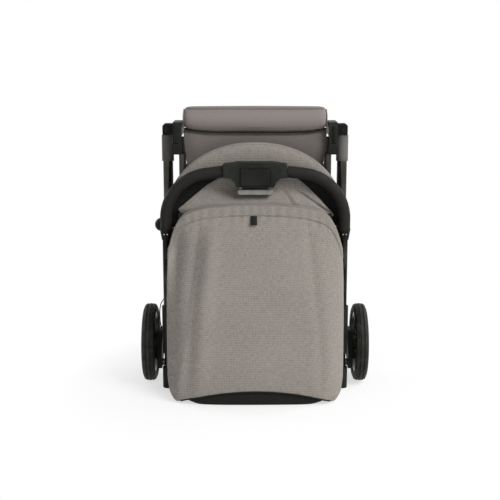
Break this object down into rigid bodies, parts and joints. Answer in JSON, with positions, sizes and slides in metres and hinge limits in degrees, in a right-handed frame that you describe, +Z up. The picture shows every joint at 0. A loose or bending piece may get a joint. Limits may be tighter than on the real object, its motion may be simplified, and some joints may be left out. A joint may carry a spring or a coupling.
{
  "type": "folding pushchair",
  "caption": "Compact pushchair folded upright on its wheels: pull-out handle, folded canopy, rear pocket, seat rails and swivelling front casters that rise and swing out to open",
  "frame": {"origin": "on the floor, in the middle of the folded pushchair's footprint", "axes": "+X to the right seen from behind, -Y toward the person who pushes it, +Z up"},
  "size_m": [0.452, 0.259, 0.556],
  "materials": {
    "frame_tube": "satin",
    "black_plastic": "satin",
    "grey_plastic": "satin",
    "wheel_plastic": "gloss",
    "steel_pin": "satin",
    "tyre": "matte",
    "grip_foam": "matte",
    "fabric_grey": "woven",
    "fabric_seat": "woven",
    "fabric_black": "woven",
    "board": "matte"
  },
  "bodies": {
    "rear_frame": {"rear_leg_left": "frame_tube", "rear_leg_right": "frame_tube", "hub_bracket_left": "black_plastic", "hub_bracket_right": "black_plastic", "leg_sleeves": "grey_plastic", "wheel_axles": "steel_pin", "rear_axle_tube": "frame_tube"},
    "brake": {"brake_pedal": "black_plastic"},
    "rear_wheel_left": {"rear_tyre_left": "tyre", "rear_rim_left": "wheel_plastic", "rear_cap_left": "wheel_plastic"},
    "rear_wheel_right": {"rear_tyre_right": "tyre", "rear_rim_right": "wheel_plastic", "rear_cap_right": "wheel_plastic"},
    "back_frame": {"knee_block_left": "black_plastic", "knee_block_right": "black_plastic", "upright_left": "frame_tube", "upright_right": "frame_tube", "seat_joint_left": "black_plastic", "seat_joint_right": "black_plastic", "handle_tube_left": "frame_tube", "handle_tube_right": "frame_tube", "inner_legs": "frame_tube", "knee_clevises": "black_plastic", "tube_feet": "black_plastic", "canopy_pins": "steel_pin", "back_crossbar": "frame_tube", "recline_rod": "steel_pin", "canopy_folded": "fabric_grey", "pocket_base": "fabric_grey", "bag_bottom": "fabric_black"},
    "latch": {"storage_latch": "black_plastic"},
    "handle": {"handle_bow": "frame_tube", "handle_grip_left": "grip_foam", "handle_grip_right": "grip_foam", "grip_collars": "black_plastic", "housing_screws": "steel_pin", "handle_housing": "black_plastic"},
    "button": {"fold_button": "black_plastic"},
    "lever": {"squeeze_lever": "grey_plastic"},
    "canopy": {"canopy_bow": "frame_tube"},
    "backrest": {"backrest_board": "board", "back_pocket": "fabric_grey"},
    "seat": {"seat_rail_left": "frame_tube", "seat_rail_right": "frame_tube", "seat_board": "board", "seat_cushion": "fabric_seat", "legrest_rod": "steel_pin"},
    "legrest": {"legrest_board": "board", "legrest_bolster": "fabric_grey"},
    "front_frame": {"front_leg_left": "frame_tube", "front_leg_right": "frame_tube", "caster_housings": "black_plastic", "front_crossbar": "frame_tube"},
    "caster_left": {"caster_fork_left": "black_plastic"},
    "caster_right": {"caster_fork_right": "black_plastic"},
    "front_wheel_left": {"front_tyre_left": "tyre", "front_rim_left": "wheel_plastic"},
    "front_wheel_right": {"front_tyre_right": "tyre", "front_rim_right": "wheel_plastic"}
  },
  "joints": [
    {"name": "frame_lift", "type": "slide", "parent": "rear_frame", "child": "back_frame", "axis": [0, 0, 1], "range_m": [0, 0.328]},
    {"name": "handle_extend", "type": "slide", "parent": "back_frame", "child": "handle", "axis": [0, 0, 1], "range_m": [0, 0.19]},
    {"name": "button_press", "type": "slide", "parent": "handle", "child": "button", "axis": [0, 1, 0], "range_m": [0, 0.003], "stiffness_N_per_m": 600, "springref_m": -0.002},
    {"name": "lever_squeeze", "type": "slide", "parent": "handle", "child": "lever", "axis": [0, 0, 1], "range_m": [0, 0.0045], "stiffness_N_per_m": 900, "springref_m": -0.003},
    {"name": "latch_turn", "type": "hinge", "parent": "back_frame", "child": "latch", "pos_m": [0, 0.0025, 0.323], "axis": [1, 0, 0], "range_deg": [0, 40]},
    {"name": "canopy_open", "type": "hinge", "parent": "back_frame", "child": "canopy", "pos_m": [0, 0.0025, 0.323], "axis": [-1, 0, 0], "range_deg": [0, 85]},
    {"name": "backrest_recline", "type": "hinge", "parent": "back_frame", "child": "backrest", "pos_m": [0, -0.0335, 0.118], "axis": [1, 0, 0], "range_deg": [0, 25]},
    {"name": "seat_swing", "type": "hinge", "parent": "back_frame", "child": "seat", "pos_m": [0, 0.0305, 0.12], "axis": [-1, 0, 0], "range_deg": [0, 85]},
    {"name": "legrest_tilt", "type": "hinge", "parent": "seat", "child": "legrest", "pos_m": [0, 0.0305, 0.484], "axis": [-1, 0, 0], "range_deg": [0, 40]},
    {"name": "front_leg_swing", "type": "hinge", "parent": "seat", "child": "front_frame", "pos_m": [0, 0.0505, 0.458], "axis": [1, 0, 0], "range_deg": [0, 85]},
    {"name": "brake_press", "type": "hinge", "parent": "rear_frame", "child": "brake", "pos_m": [0, -0.0105, 0.045], "axis": [1, 0, 0], "range_deg": [0, 20]},
    {"name": "rear_wheel_left_spin", "type": "hinge", "parent": "rear_frame", "child": "rear_wheel_left", "pos_m": [-0.211, 0.0205, 0.078], "axis": [1, 0, 0], "continuous": true},
    {"name": "caster_left_swivel", "type": "hinge", "parent": "front_frame", "child": "caster_left", "pos_m": [-0.125, 0.0655, 0.11], "axis": [0, 0, 1], "continuous": true},
    {"name": "front_wheel_left_spin", "type": "hinge", "parent": "caster_left", "child": "front_wheel_left", "pos_m": [-0.125, 0.0795, 0.05], "axis": [1, 0, 0], "continuous": true},
    {"name": "rear_wheel_right_spin", "type": "hinge", "parent": "rear_frame", "child": "rear_wheel_right", "pos_m": [0.211, 0.0205, 0.078], "axis": [1, 0, 0], "continuous": true},
    {"name": "caster_right_swivel", "type": "hinge", "parent": "front_frame", "child": "caster_right", "pos_m": [0.125, 0.0655, 0.11], "axis": [0, 0, 1], "continuous": true},
    {"name": "front_wheel_right_spin", "type": "hinge", "parent": "caster_right", "child": "front_wheel_right", "pos_m": [0.125, 0.0795, 0.05], "axis": [1, 0, 0], "continuous": true}
  ],
  "couplings": [
    {"joint": "seat_swing", "follows": "frame_lift", "rad_per_m": 4.5229},
    {"joint": "front_leg_swing", "follows": "frame_lift", "rad_per_m": 4.5229},
    {"joint": "canopy_open", "follows": "frame_lift", "rad_per_m": 4.5229}
  ]
}
